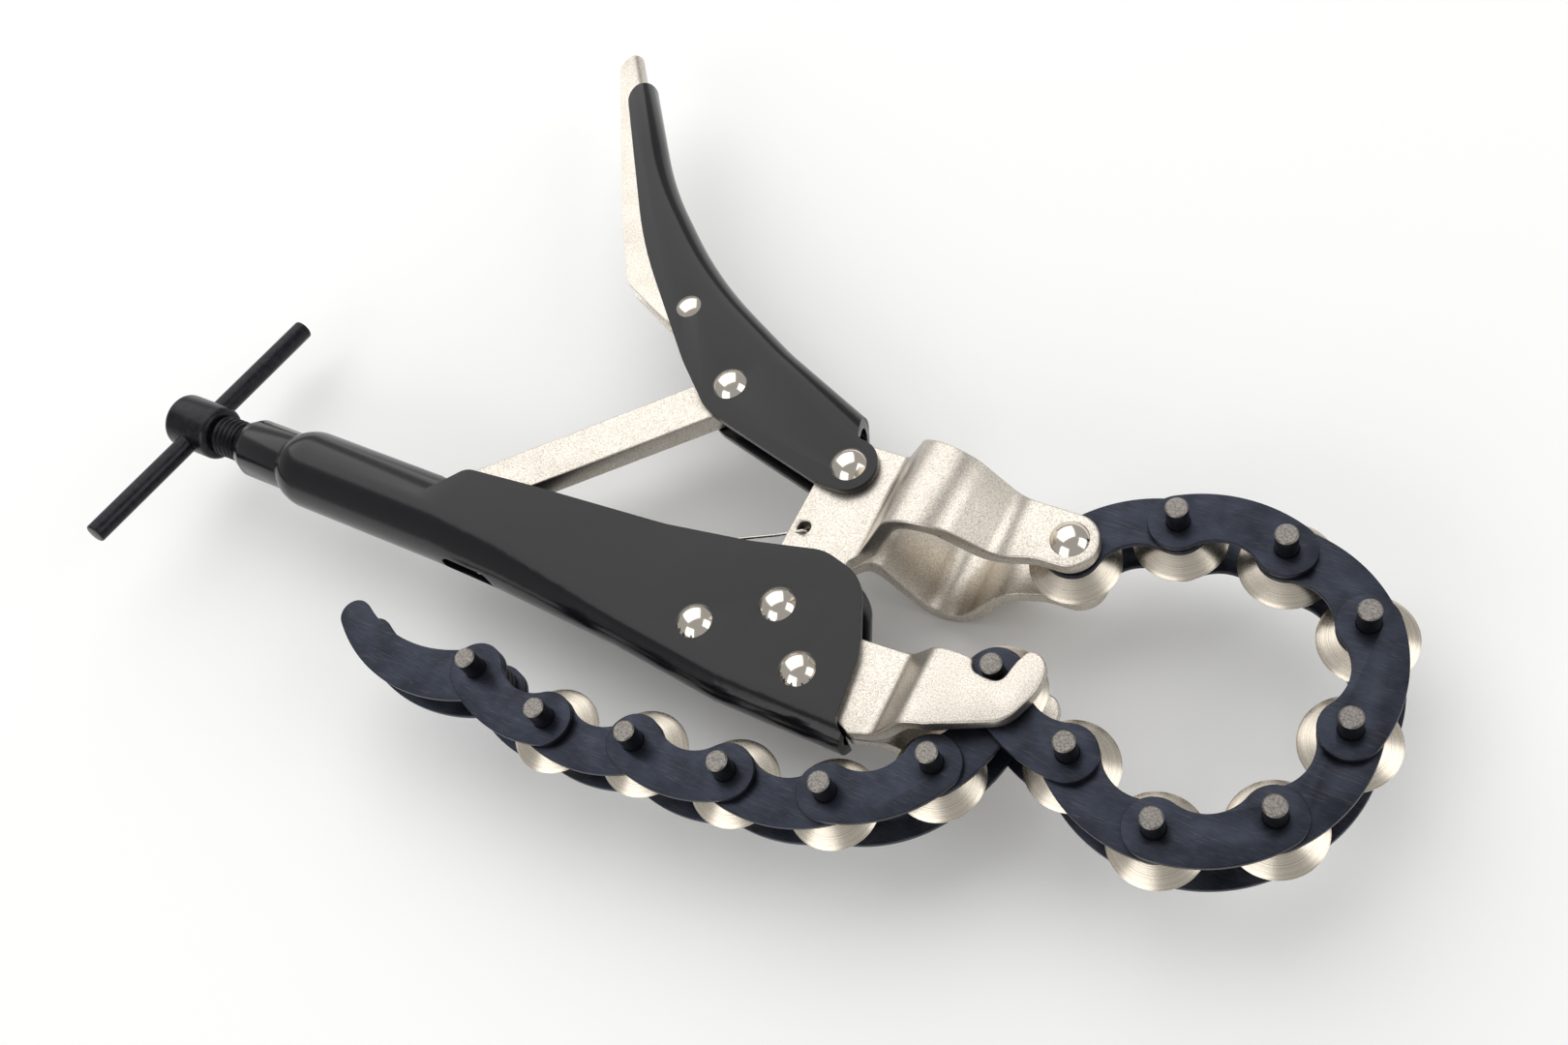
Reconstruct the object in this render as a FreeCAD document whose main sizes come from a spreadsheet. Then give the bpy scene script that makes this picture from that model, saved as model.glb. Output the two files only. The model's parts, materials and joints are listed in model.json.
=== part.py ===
import FreeCAD, Part
import Sketcher
import math
import os

# Locking-plier chain cutter, lying on its side: folded-steel handle and lever, nickel jaws,
# and a cutter chain that runs from the moving jaw round to the hook of the fixed jaw.
# Plan coordinates are taken from the moving jaw's pivot (x towards the jaws, y towards the
# lever) and heights from the middle plane of the tool; OFFSET then stands the tool on z = 0.

doc = FreeCAD.newDocument("ChainCutter")
V = FreeCAD.Vector

SIZES = [
    # sheet metal, plates and fits
    ("sheet_wall", 2.3), ("jaw_plate", 3.9), ("fit_gap", 0.1),
    ("pin_fit", 0.05), ("rivet_rad", 3.4), ("rivet_head_rad", 4.75), ("rivet_head_rise", 2.5),
    ("small_rivet_rad", 2.3), ("small_head_rad", 3.55), ("small_head_rise", 1.2),
    # fixed handle
    ("tube_rad", 11.2), ("axis_y", -9.1), ("tube_front_x", -103.5), ("tube_back_x", -151.0),
    ("neck_rad", 8.6), ("neck_end_x", -178.5), ("spine_front_y", -27.0), ("crease_x", -38.0),
    ("crease_spine_y", -23.2), ("flare_x", -78.0), ("flare_width", 20.6), ("flare_spine_y", -20.9),
    ("window_x", -88.0), ("window_long", 17.0), ("window_wide", 7.0), ("slot_x", -111.0),
    ("slot_half", 5.2),
    # adjusting screw and its cross bar
    ("screw_rad", 6.0), ("screw_tip_x", -116.2), ("screw_fit", 0.25), ("thread_pitch", 2.0),
    ("thread_deep", 1.0), ("head_rad", 8.0), ("head_long", 17.0), ("bar_x", -198.5),
    ("bar_rad", 3.0), ("bar_long", 91.0), ("bar_turn", 13.0),
    # pivots in plan
    ("lever_pivot_x", -1.1), ("lever_pivot_y", 41.3), ("link_pivot_x", -43.5),
    ("link_pivot_y", 52.9), ("release_pivot_x", -67.5), ("release_pivot_y", 71.7),
    ("rear_rivet_x", -17.9), ("rear_rivet_y", -11.6), ("front_rivet_x", 12.8),
    ("front_rivet_y", -13.4),
    # lever's nose, release lever and toggle link
    ("nose_rad", 7.4), ("release_gap", 0.25), ("release_wall", 1.4),
    ("link_long", 88.0), ("link_wide", 12.0), ("link_thick", 6.8), ("link_angle", 223.1),
    # jaws
    ("boss_rad", 9.0), ("hump_half", 26.5), ("ear_half", 12.0), ("ear_rad", 7.0),
    ("hook_half", 14.0), ("notch_gap", 0.95), ("spring_hole_x", -4.8), ("spring_hole_y", 22.2),
    ("spring_hole_rad", 1.7),
    # spring
    ("coil_rad", 2.6), ("coil_long", 44.0), ("wire_rad", 0.45),
    # chain
    ("chain_pitch", 25.0), ("pin_rad", 2.65), ("pin_half", 15.6), ("lobe_rad", 7.0),
    ("crest_out", 9.8), ("crest_in", 1.9), ("outer_face", 8.7), ("plate_thick", 1.5),
    ("washer_thick", 0.7), ("washer_rad", 5.6), ("wheel_rad", 11.1), ("wheel_half", 3.9),
    ("hub_rad", 5.2), ("rim_half", 0.35), ("anchor_x", 61.4), ("anchor_y", 37.95),
    ("tail_long", 43.2), ("tail_tip_rad", 4.2), ("tail_out", 12.4), ("tail_in", 0.3),
    # where the moving jaw's pivot stands in the part's frame
    ("offset_x", 31.1), ("offset_y", -46.9), ("offset_z", 26.6),
]
# heading of each link from the anchor to the tail, degrees from +x
HEADINGS = [34.6, 3.8, -27.1, -79.6, -107.2, -151.3, 159.7, 154.0,
            -100.1, -141.8, -168.9, -175.0, -171.7, 169.8, 178.9]
for number, heading in enumerate(HEADINGS):
    SIZES.append(("heading_%s" % "abcdefghijklmno"[number], heading))

sheet = doc.addObject("Spreadsheet::Sheet", "Sizes")
for row, (alias, value) in enumerate(SIZES, 1):
    sheet.set("A%d" % row, alias)
    sheet.set("B%d" % row, str(value))
    sheet.setAlias("B%d" % row, alias)
doc.recompute()


def size(alias):
    """The plain number behind a named size."""
    return float(sheet.get(alias))


OFFSET = V(size("offset_x"), size("offset_y"), size("offset_z"))
NODES = []


# ---------------------------------------------------------------- drawing helpers

def unit(angle):
    """Plan direction at an angle in degrees."""
    return V(math.cos(math.radians(angle)), math.sin(math.radians(angle)), 0)


def place(x=0.0, y=0.0, z=0.0, turn=0.0):
    """Placement in the part's frame of a piece whose own origin is at (x, y, z) in the tool."""
    return FreeCAD.Placement(OFFSET + V(x, y, z), FreeCAD.Rotation(V(0, 0, 1), turn))


def new_body(name, placement=None):
    """An empty body, labelled with its node's name."""
    body = doc.addObject("PartDesign::Body", name)
    body.Label = name
    body.AllowCompound = True
    body.Placement = placement or place()
    NODES.append(body)
    return body


def add_sketch(body, plane="XY_Plane", height=0.0, turn=0.0):
    """A sketch on one of the body's own planes, lifted off it by height."""
    name = "%s_sketch%d" % (body.Name, len(body.Group))
    sketch = body.newObject("Sketcher::SketchObject", name)
    origin_plane = [f for f in body.Origin.OriginFeatures if f.Role == plane][0]
    sketch.AttachmentSupport = [(origin_plane, "")]
    sketch.MapMode = "FlatFace"
    sketch.AttachmentOffset = FreeCAD.Placement(
        V(0, 0, height), FreeCAD.Rotation(V(0, 1, 0) if plane == "XZ_Plane" else V(0, 0, 1), turn))
    return sketch


def circle(sketch, x, y, radius):
    """A circle at (x, y); radius is a sheet expression, x and y numbers or expressions."""
    item = sketch.addGeometry(Part.Circle(V(0, 0, 0), V(0, 0, 1), 1.0))
    for kind, value in (("DistanceX", x), ("DistanceY", y)):
        index = sketch.addConstraint(Sketcher.Constraint(kind, -1, 1, item, 3, 1.0))
        sketch.setExpression("Constraints[%d]" % index, str(value))
    index = sketch.addConstraint(Sketcher.Constraint("Radius", item, 1.0))
    sketch.setExpression("Constraints[%d]" % index, radius)
    return item


def outline(sketch, corners, closed=True):
    """An outline through corners (x, y) or (x, y, r), each r rounding its corner.

    Two roundings that need more than the side between them share it.
    """
    count = len(corners)
    points = [V(c[0], c[1], 0) for c in corners]
    turns, reaches = [], []
    for i, corner in enumerate(corners):
        back, ahead = points[i - 1] - points[i], points[(i + 1) % count] - points[i]
        half = back.getAngle(ahead) / 2
        turns.append(half)
        reaches.append((corner[2] if len(corner) > 2 else 0.0) / math.tan(half) if half else 0.0)
    wanted = list(reaches)
    for i in range(count):
        side = (points[(i + 1) % count] - points[i]).Length
        both = wanted[i] + wanted[(i + 1) % count]
        if both > 0.999 * side:
            for k in (i, (i + 1) % count):
                reaches[k] = min(reaches[k], wanted[k] * 0.999 * side / both)
    ends = []
    for i, here in enumerate(points):
        if reaches[i]:
            back, ahead = points[i - 1] - here, points[(i + 1) % count] - here
            back.normalize()
            ahead.normalize()
            radius = reaches[i] * math.tan(turns[i])
            middle = back + ahead
            middle.normalize()
            through = here + middle * (radius / math.sin(turns[i]) - radius)
            ends.append((here + back * reaches[i], through, here + ahead * reaches[i]))
        else:
            ends.append((here, None, here))
    for i in range(count):
        first, through, last = ends[i]
        if through is not None:
            sketch.addGeometry(Part.Arc(first, through, last))
        if not closed and i == count - 1:
            break
        following = ends[(i + 1) % count][0]
        if (following - last).Length > 1e-6:
            sketch.addGeometry(Part.LineSegment(last, following))


def join_ends(sketch, edges):
    """Draws a closed run of lines and arcs and ties each end to the one it meets."""
    first = len(sketch.Geometry)
    sketch.addGeometry(edges)
    for i in range(len(edges)):
        here, there = first + i, first + (i + 1) % len(edges)
        gaps = [((sketch.getPoint(here, a) - sketch.getPoint(there, b)).Length, a, b)
                for a in (1, 2) for b in (1, 2)]
        gap, a, b = min(gaps)
        sketch.addConstraint(Sketcher.Constraint("Coincident", here, a, there, b))


def pad(body, sketch, length, midplane=True):
    """A pad whose length is a sheet expression."""
    feature = body.newObject("PartDesign::Pad", "%s_pad%d" % (body.Name, len(body.Group)))
    feature.Profile = sketch
    feature.Midplane = midplane
    feature.setExpression("Length", length)
    return feature


def pocket(body, sketch, length=None):
    """A pocket both ways from its sketch: right through, or length in all."""
    feature = body.newObject("PartDesign::Pocket", "%s_cut%d" % (body.Name, len(body.Group)))
    feature.Profile = sketch
    feature.Midplane = True
    if length:
        feature.setExpression("Length", length)
    else:
        feature.Length = 400.0
    return feature


def revolve(body, sketch, axis="H_Axis", cut=False):
    """Turns a sketch once round one of its own axes."""
    kind = "PartDesign::Groove" if cut else "PartDesign::Revolution"
    feature = body.newObject(kind, "%s_turn%d" % (body.Name, len(body.Group)))
    feature.Profile = sketch
    feature.ReferenceAxis = (sketch, [axis])
    feature.Angle = 360.0
    return feature


def chamfer(body, feature, width):
    """Breaks every edge of feature."""
    doc.recompute()
    names = ["Edge%d" % (i + 1) for i in range(len(feature.Shape.Edges))]
    broken = body.newObject("PartDesign::Chamfer", "%s_bevel%d" % (body.Name, len(body.Group)))
    broken.Base = (feature, names)
    broken.Size = width
    return broken


def trim(body, corners, reach=400.0):
    """Cuts away everything outside the outline in plan."""
    sketch = add_sketch(body)
    outline(sketch, [(-reach, -reach), (reach, -reach), (reach, reach), (-reach, reach)])
    outline(sketch, corners)
    return pocket(body, sketch)


# ---------------------------------------------------------------- derived places

PITCH = size("chain_pitch")
ANCHOR = V(size("anchor_x"), size("anchor_y"), 0)
HEADING = [size("heading_%s" % letter) for letter in "abcdefghijklmno"]
PINS = [ANCHOR]
for heading in HEADING[:14]:
    PINS.append(PINS[-1] + unit(heading) * PITCH)
HOOK = PINS[8]
LEVER_PIVOT = V(size("lever_pivot_x"), size("lever_pivot_y"), 0)
LINK_PIVOT = V(size("link_pivot_x"), size("link_pivot_y"), 0)
RELEASE_PIVOT = V(size("release_pivot_x"), size("release_pivot_y"), 0)
REAR_RIVET = V(size("rear_rivet_x"), size("rear_rivet_y"), 0)
FRONT_RIVET = V(size("front_rivet_x"), size("front_rivet_y"), 0)
WALL = size("sheet_wall")
PLATE = size("jaw_plate")
HALF_CHANNEL = PLATE + 1.5 * size("fit_gap") + WALL
AXIS_Y = size("axis_y")


# ---------------------------------------------------------------- rivets

def rivet(name, places, kind="rivet", half=None):
    """Domed rivets through the channel at the given plan places, a solid each."""
    grip = half or HALF_CHANNEL
    prefix = "small" if kind == "small" else "rivet"
    rad = size("small_rivet_rad" if kind == "small" else "rivet_rad")
    head = size(prefix + "_head_rad")
    rise = size(prefix + "_head_rise")
    if kind == "pin":
        rad = size("pin_rad")
    dome = (head * head + rise * rise) / (2 * rise)
    body = new_body(name)
    for spot in places:
        sketch = add_sketch(body, "YZ_Plane", spot.x)
        apex = V(spot.y, grip + rise, 0)
        rim = V(spot.y + head, grip, 0)
        lean = math.asin(head / dome) / 2
        through = V(spot.y + dome * math.sin(lean), grip + rise - dome * (1 - math.cos(lean)), 0)
        flip = lambda p: V(p.x, -p.y, 0)
        neck = V(spot.y + rad, grip, 0)
        edges = [Part.Arc(apex, through, rim), Part.LineSegment(rim, neck),
                 Part.LineSegment(neck, flip(neck)), Part.LineSegment(flip(neck), flip(rim)),
                 Part.Arc(flip(rim), flip(through), flip(apex)),
                 Part.LineSegment(flip(apex), apex)]
        join_ends(sketch, edges)
        line = sketch.addGeometry(Part.LineSegment(flip(apex), apex), True)
        turn = body.newObject("PartDesign::Revolution", "%s_turn%d" % (name, len(body.Group)))
        turn.Profile = sketch
        turn.ReferenceAxis = (sketch, ["Axis0"])
        turn.Angle = 360.0
        doc.recompute()
    return body


# ---------------------------------------------------------------- fixed handle

def bullet(sketch, width, spine, top):
    """Section of the folded handle: straight cheeks on a round spine."""
    rad = width / 2
    low = spine + rad
    edges = [Part.LineSegment(V(top, -rad, 0), V(low, -rad, 0)),
             Part.Arc(V(low, -rad, 0), V(spine, 0, 0), V(low, rad, 0)),
             Part.LineSegment(V(low, rad, 0), V(top, rad, 0)),
             Part.LineSegment(V(top, rad, 0), V(top, -rad, 0))]
    join_ends(sketch, edges)


def loft(body, sections, cut=False):
    """Straight-sided loft through sections (x, width, spine, top)."""
    sketches = []
    for x, width, spine, top in sections:
        sketch = add_sketch(body, "YZ_Plane", x)
        bullet(sketch, width, spine, top)
        sketches.append(sketch)
    kind = "PartDesign::SubtractiveLoft" if cut else "PartDesign::AdditiveLoft"
    feature = body.newObject(kind, "%s_loft%d" % (body.Name, len(body.Group)))
    feature.Profile = sketches[0]
    feature.Sections = sketches[1:]
    feature.Ruled = True
    return feature


def make_fixed_handle():
    body = new_body("fixed_handle")
    tube, neck = size("tube_rad"), size("neck_rad")
    front, back, end = size("tube_front_x"), size("tube_back_x"), size("neck_end_x")
    bore = size("screw_rad") + size("screw_fit")
    width, flare = 2 * HALF_CHANNEL, size("flare_width")
    stations = [(front - 5.0, 2 * tube, AXIS_Y - tube), (-100.0, 2 * tube, AXIS_Y - tube),
                (size("flare_x"), flare, size("flare_spine_y")),
                (size("crease_x"), width, size("crease_spine_y")),
                (-6.0, width, size("spine_front_y") + 0.3),
                (30.0, width, size("spine_front_y"))]
    loft(body, [(x, w, spine, 24.0) for x, w, spine in stations])
    loft(body, [(x, w - 2 * WALL, spine + WALL, 30.0) for x, w, spine in stations], cut=True)
    # side outline of the two cheeks and the spine's cut end
    sky = add_sketch(body)
    outline(sky, [(front - 8.0, 40), (front - 8.0, AXIS_Y + 0.8), (front - 5.0, AXIS_Y + 0.8),
                  (front, -2.6, 4), (-98.5, 3.4, 5), (size("crease_x") - 2, 9.4, 60), (-15, 13, 40), (4.5, 17.3, 12),
                  (16.5, 14.0, 10), (25.2, -4, 20), (27.2, -21.5, 4), (31.0, -24.5), (60, -24.5),
                  (60, 40)])
    pocket(body, sky)
    # swaged tube, shoulder and neck round the screw's axis
    sketch = add_sketch(body)
    x0, x1 = front, back
    slope = [V(x0, AXIS_Y + tube - WALL, 0), V(x0, AXIS_Y + tube, 0), V(x1, AXIS_Y + tube, 0),
             V(x1 - 9, AXIS_Y + neck, 0), V(end + 3.5, AXIS_Y + neck, 0), V(end, AXIS_Y + bore + 0.8, 0),
             V(end, AXIS_Y + bore, 0), V(x1 - 6, AXIS_Y + bore, 0),
             V(x1 - 1, AXIS_Y + tube - WALL, 0)]
    shoulder = Part.Arc(slope[2], V(x1 - 6, AXIS_Y + (tube * 0.62 + neck * 0.38), 0), slope[3])
    edges = []
    for i, point in enumerate(slope):
        nxt = slope[(i + 1) % len(slope)]
        edges.append(shoulder if i == 2 else Part.LineSegment(point, nxt))
    join_ends(sketch, edges)
    sketch.addGeometry(Part.LineSegment(V(end, AXIS_Y, 0), V(x0, AXIS_Y, 0)), True)
    turn = body.newObject("PartDesign::Revolution", "fixed_handle_tube")
    turn.Profile = sketch
    turn.ReferenceAxis = (sketch, ["Axis0"])
    turn.Angle = 360.0
    # slot in the tube's top that the toggle link comes out through
    slot = add_sketch(body, "XZ_Plane", 6.0)
    half, x = size("slot_half"), size("slot_x")
    outline(slot, [(x, -half, 3), (-98.0, -half), (-98.0, half), (x, half, 3)])
    opened = body.newObject("PartDesign::Pocket", "fixed_handle_slot")
    opened.Profile = slot
    opened.Length = 12.0
    # window in the spine where the spring hooks on
    window = add_sketch(body, "XZ_Plane", 30.0)
    long, wide, x = size("window_long") / 2, size("window_wide") / 2, size("window_x")
    outline(window, [(x - long, -wide, 3), (x + long, -wide, 3), (x + long, wide, 3),
                     (x - long, wide, 3)])
    cut = body.newObject("PartDesign::Pocket", "fixed_handle_window")
    cut.Profile = window
    cut.Length = 14.0
    # rivet holes through both cheeks
    holes = add_sketch(body)
    circle(holes, 0.0, 0.0, "Sizes.rivet_rad")
    for name in ("rear_rivet", "front_rivet"):
        circle(holes, "Sizes.%s_x" % name, "Sizes.%s_y" % name, "Sizes.rivet_rad")
    pocket(body, holes)
    return body


# ---------------------------------------------------------------- jaws

def jaw_profile(sketch, knots, side):
    """Closed bent strip in x, z through outer-face knots (x, z, r), a plate thick."""
    inner = []
    for i, (x, z, r) in enumerate(knots):
        before, after = knots[max(i - 1, 0)], knots[min(i + 1, len(knots) - 1)]
        a = math.atan2(z - before[1], x - before[0]) if i else math.atan2(after[1] - z, after[0] - x)
        b = math.atan2(after[1] - z, after[0] - x) if i < len(knots) - 1 else a
        mean, half = (a + b) / 2, (b - a) / 2
        reach = PLATE / math.cos(half)
        turn_left = b > a + 1e-9
        rr = r + (PLATE if turn_left else -PLATE) if r else 0
        inner.append((x + reach * math.sin(mean), z - reach * math.cos(mean), rr))
    corners = [k for k in knots] + inner[::-1]
    outline(sketch, [(c[0], side * c[1]) + ((c[2],) if c[2] else ()) for c in corners])


def make_moving_jaw(name, side):
    body = new_body(name)
    flat, ear, hump = PLATE + size("fit_gap") / 2, size("ear_half"), size("hump_half")
    ear_rad = size("ear_rad")
    # ramp and descent meet above the hump, and the rounding brings its crown to hump_half
    start, knee = 12.0, ANCHOR.x - 14.4
    ramp, fall = math.tan(math.radians(62.5)), math.tan(math.radians(52.0))
    apex_x = (flat - ramp * start - ear - fall * knee) / (-fall - ramp)
    apex_z = flat + ramp * (apex_x - start)
    half = math.radians((62.5 + 52.0) / 2)
    crown = (apex_z - hump) / (1 / math.cos(half) - 1)
    strip = add_sketch(body, "XZ_Plane")
    jaw_profile(strip, [(-30, flat, 0), (start, flat, 3.5), (apex_x, apex_z, crown),
                        (knee, ear, 7), (ANCHOR.x + 20, ear, 0)], side)
    pad(body, strip, "260 mm")
    a = ANCHOR
    trim(body, [(-size("boss_rad"), -size("boss_rad"), size("boss_rad") - 0.05),
                (size("boss_rad"), -size("boss_rad"), size("boss_rad") - 0.05),
                (size("boss_rad"), 6.0, 6), (10.2, 17.0, 4), (13.5, 21.2, 5), (32, 23.0, 30),
                (a.x - 6.0, a.y - ear_rad - 0.4, 14),
                (a.x + ear_rad, a.y - ear_rad, ear_rad - 0.05),
                (a.x + ear_rad, a.y + ear_rad, ear_rad - 0.05), (27, 44.6, 60),
                (13, 49.3, 12), (-8.3, 49.0, 7.5), (-8.3, 10.0, 20)])
    holes = add_sketch(body)
    circle(holes, 0.0, 0.0, "Sizes.rivet_rad + Sizes.pin_fit")
    circle(holes, "Sizes.lever_pivot_x", "Sizes.lever_pivot_y", "Sizes.rivet_rad + Sizes.pin_fit")
    circle(holes, "Sizes.anchor_x", "Sizes.anchor_y", "Sizes.pin_rad")
    circle(holes, "Sizes.spring_hole_x", "Sizes.spring_hole_y", "Sizes.spring_hole_rad")
    pocket(body, holes)
    return body


def make_fixed_jaw(name, side):
    body = new_body(name)
    flat, out = PLATE + size("fit_gap") / 2, size("hook_half")
    ramp_x = HOOK.x - 22.2
    strip = add_sketch(body, "XZ_Plane")
    jaw_profile(strip, [(-45, flat, 0), (ramp_x, flat, 5), (ramp_x + 8.2, out, 5),
                        (HOOK.x + 30, out, 0)], side)
    pad(body, strip, "260 mm")
    h, n = HOOK, size("pin_rad") + size("notch_gap")
    clear = size("boss_rad") + 0.8
    trim(body, [(-25.5, -5.0, 3), (-25.5, -17.6, 5), (26.5, -21.1), (30.5, -22.9), (h.x - 21, -20.8, 12),
                (h.x - 8.0, -16.8, 10), (h.x + 1.0, -12.8, 20), (h.x + 8.4, -9.4, 9),
                (h.x + 12.2, 0.0, 14), (h.x + 11.2, 8.6, 4), (h.x + 6.2, 7.9, 2.4),
                (h.x + n + 1.2, h.y + 3.0, 2.5), (h.x + n - 0.3, h.y - n + 0.7, n - 1.1),
                (h.x - n, h.y - n + 0.7, n - 1.1), (h.x - n - 1.2, h.y + 0.2, 1.5),
                (h.x - 9.0, 1.9, 8), (h.x - 22.2, 0.8, 12),
                (16.0, -0.4, 3), (12.6, -5.6, 2), (clear, -clear, clear * 0.6),
                (-clear, -clear, clear * 0.6), (-clear - 1.5, -5.0, 2)])
    relief = add_sketch(body)
    circle(relief, 0.0, 0.0, "Sizes.boss_rad + 0.8")
    pocket(body, relief)
    holes = add_sketch(body)
    for rivet_name in ("rear_rivet", "front_rivet"):
        circle(holes, "Sizes.%s_x" % rivet_name, "Sizes.%s_y" % rivet_name, "Sizes.rivet_rad")
    pocket(body, holes)
    return body


# ---------------------------------------------------------------- lever, link and release

LEVER_LOW = [(-46.0, 43.6, 14), (-60.0, 55.2, 60), (-92.0, 86.8, 160)]
LEVER_LEAN = 22.0
LEVER_START = V(16.0, 48.9, 0)
LEVER_KNEE = LEVER_START + unit(180.0 - LEVER_LEAN) * 54.0
LEVER_BACK = [(LEVER_START.x, LEVER_START.y), (LEVER_KNEE.x, LEVER_KNEE.y, 90),
              (-67.0, 85.5, 150), (-98.0, 111.8, 130), (-128.0, 150.0)]


def inset(corners, gap):
    """An open run of corners moved sideways by gap, to the left of its direction."""
    points = [V(c[0], c[1], 0) for c in corners]
    across = []
    for here, ahead in zip(points, points[1:]):
        way = ahead - here
        way.normalize()
        across.append(V(-way.y, way.x, 0))
    moved = []
    for i, corner in enumerate(corners):
        a, b = across[max(i - 1, 0)], across[min(i, len(across) - 1)]
        spot = points[i] + (a + b) * (gap / (1 + a.dot(b)))
        moved.append((spot.x, spot.y) + ((corner[2] + gap,) if len(corner) > 2 else ()))
    return moved


def folded_channel(body, back, half, wall, legs):
    """A folded strip swept along its own round back, its two legs to the left of the run."""
    inside = half - wall
    heading = math.degrees(math.atan2(back[1][1] - back[0][1], back[1][0] - back[0][0]))
    section = add_sketch(body, "XZ_Plane")
    section.AttachmentOffset = FreeCAD.Placement(
        V(back[0][0], 0, -back[0][1]), FreeCAD.Rotation(V(0, 1, 0), heading - 90.0))
    join_ends(section, [
        Part.LineSegment(V(-legs, -half, 0), V(-half, -half, 0)),
        Part.Arc(V(-half, -half, 0), V(0, 0, 0), V(-half, half, 0)),
        Part.LineSegment(V(-half, half, 0), V(-legs, half, 0)),
        Part.LineSegment(V(-legs, half, 0), V(-legs, inside, 0)),
        Part.LineSegment(V(-legs, inside, 0), V(-half, inside, 0)),
        Part.Arc(V(-half, inside, 0), V(-wall, 0, 0), V(-half, -inside, 0)),
        Part.LineSegment(V(-half, -inside, 0), V(-legs, -inside, 0)),
        Part.LineSegment(V(-legs, -inside, 0), V(-legs, -half, 0))])
    run = add_sketch(body)
    outline(run, back, closed=False)
    channel = body.newObject("PartDesign::AdditivePipe", body.Name + "_channel")
    channel.Profile = section
    channel.Spine = run


def make_lever():
    body = new_body("lever")
    p, nose = LEVER_PIVOT, size("nose_rad")
    folded_channel(body, LEVER_BACK, HALF_CHANNEL, WALL, 34.0)
    trim(body, [(-5.6, 60.0), (-5.2, 56.4, 1.5), (-2.4, p.y + nose + 0.3, 2.5),
                (p.x + nose, p.y + nose, nose - 0.05), (p.x + nose, p.y - nose, nose - 0.05),
                (p.x - 6, p.y - nose, 4)]
         + LEVER_LOW + [(-128.0, 137.0, 8), (-122.5, 146.5, 4), (-90.0, 118.0), (-40, 84.0)])
    holes = add_sketch(body)
    for name, rad in (("lever_pivot", "rivet_rad"), ("link_pivot", "rivet_rad"),
                      ("release_pivot", "small_rivet_rad")):
        circle(holes, "Sizes.%s_x" % name, "Sizes.%s_y" % name, "Sizes.%s" % rad)
    pocket(body, holes)
    return body


def make_toggle_link():
    """Flat bar from the lever's rivet to the screw's tip."""
    body = new_body("toggle_link", place(LINK_PIVOT.x, LINK_PIVOT.y, 0, size("link_angle")))
    sketch = add_sketch(body)
    rad, far = size("link_wide") / 2, size("link_long")
    edges = [Part.Arc(V(0, rad, 0), V(-rad, 0, 0), V(0, -rad, 0)),
             Part.LineSegment(V(0, -rad, 0), V(far, -rad, 0)),
             Part.Arc(V(far, -rad, 0), V(far + rad, 0, 0), V(far, rad, 0)),
             Part.LineSegment(V(far, rad, 0), V(0, rad, 0))]
    join_ends(sketch, edges)
    pad(body, sketch, "Sizes.link_thick")
    hole = add_sketch(body)
    circle(hole, 0.0, 0.0, "Sizes.rivet_rad + Sizes.pin_fit")
    pocket(body, hole)
    return body


def make_release_lever():
    """Folded strip nested in the lever; its end stands out past the lever's tip."""
    body = new_body("release_lever")
    gap = size("release_gap")
    back = inset([(-52.0, 78.04)] + LEVER_BACK[2:4] + [(-138.0, 162.7)], WALL + gap)
    folded_channel(body, back, HALF_CHANNEL - WALL - gap, size("release_wall"), 24.0)
    trim(body, [(-60.5, 90.0), (-60.5, 73.0, 4), (-66.0, 65.2, 4), (-74.5, 67.4, 4),
                (-91.4, 75.0, 2), (-104.5, 93.5, 60), (-139.0, 149.0, 7), (-131.0, 158.0, 2),
                (-120.0, 155.0), (-90.0, 112.0)])
    hole = add_sketch(body)
    circle(hole, "Sizes.release_pivot_x", "Sizes.release_pivot_y",
           "Sizes.small_rivet_rad + Sizes.pin_fit")
    pocket(body, hole)
    return body


# ---------------------------------------------------------------- screw, bar and spring

def make_screw():
    body = new_body("adjusting_screw", place(0, AXIS_Y, 0))
    rad, tip = size("screw_rad"), size("screw_tip_x")
    head, long, bar = size("head_rad"), size("head_long"), size("bar_x")
    back, front, edge = bar - long / 2, bar + long / 2, 1.8
    sketch = add_sketch(body)
    outline(sketch, [(tip, 0), (tip, rad - 1.0), (tip - 1.0, rad), (front + 1.0, rad), (front, rad + 0.4),
                     (front, head, edge), (back, head, edge), (back, 0)])
    revolve(body, sketch)
    # thread turns that stand in the open between head and neck, and near the tip
    grooves = add_sketch(body)
    step, deep = size("thread_pitch"), size("thread_deep")
    turns = int((size("neck_end_x") - front - 1.4) / step)
    for i in range(turns):
        x = front + 1.6 + i * step
        outline(grooves, [(x, rad + 0.3), (x + step * 0.4, rad - deep), (x + step * 0.5, rad - deep),
                          (x + step * 0.9, rad + 0.3)])
    revolve(body, grooves, cut=True)
    hole = add_sketch(body, turn=0.0)
    hole.AttachmentOffset = FreeCAD.Placement(
        V(0, 0, 0), FreeCAD.Rotation(V(1, 0, 0), 90.0 - size("bar_turn")))
    circle(hole, "Sizes.bar_x", 0.0, "Sizes.bar_rad")
    pocket(body, hole)
    return body


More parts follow.
